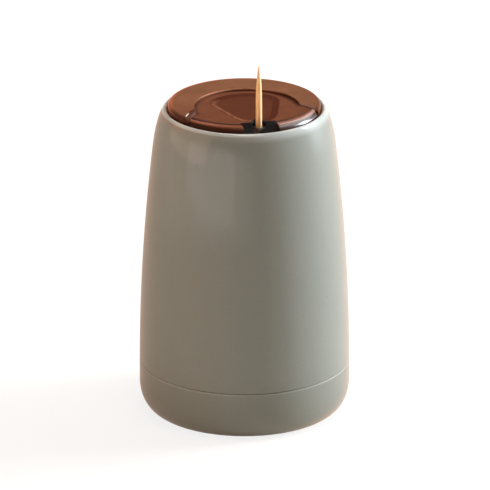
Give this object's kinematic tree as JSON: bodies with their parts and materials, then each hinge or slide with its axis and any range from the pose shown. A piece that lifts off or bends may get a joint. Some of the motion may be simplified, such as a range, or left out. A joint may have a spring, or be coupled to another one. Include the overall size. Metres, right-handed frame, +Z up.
{
  "type": "toothpick dispenser",
  "caption": "Round tapered press-top toothpick holder with a translucent lid, fan-shaped pick chamber, pull-off casing and one raised pick.",
  "frame": {"origin": "centre of the foot ring's bottom face, on the table", "axes": "+Z up along the casing's axis, -Y towards the pick hole at the front, +X to the right seen from the front"},
  "size_m": [0.0669, 0.0668, 0.1205],
  "materials": {
    "casing": "satin sage grey-green",
    "brown_lid": "polished translucent brown",
    "chamber_plastic": "moulded dark brown",
    "black_nozzle": "polished black",
    "soft_rubber": "matte",
    "inner_plastic": "moulded off-white",
    "steel": "bright",
    "pick_wood": "fine bare wood"
  },
  "bodies": {
    "base_unit": {"base_cup": "casing", "foot_ring": "soft_rubber", "base_seal": "soft_rubber", "guide_sleeve": "inner_plastic", "guide_screws": "steel", "bumper_ring": "soft_rubber", "spring_seat": "steel", "return_spring": "steel", "pusher_pin": "steel"},
    "shell": {"outer_shell": "casing"},
    "plunger": {"magazine": "chamber_plastic", "magazine_floor": "chamber_plastic", "floor_screws": "steel", "ring_cap": "brown_lid", "cap_screws": "steel"},
    "cover": {"fill_cover": "brown_lid", "pick_nozzle": "black_nozzle", "pick_grip": "soft_rubber"},
    "pick": {"toothpick": "pick_wood"}
  },
  "joints": [
    {"name": "shell_lift", "type": "slide", "parent": "base_unit", "child": "shell", "axis": [0, 0, 1], "range_m": [0, 0.112]},
    {"name": "press", "type": "slide", "parent": "base_unit", "child": "plunger", "axis": [0, 0, 1], "range_m": [-0.0219, 0], "stiffness_N_per_m": 100, "springref_m": 0.02, "deforming": ["return_spring"]},
    {"name": "cover_lift", "type": "slide", "parent": "plunger", "child": "cover", "axis": [0, 0, 1], "range_m": [0, 0.035]},
    {"name": "pick_draw", "type": "slide", "parent": "cover", "child": "pick", "axis": [0, 0, 1], "range_m": [0, 0.05]}
  ]
}
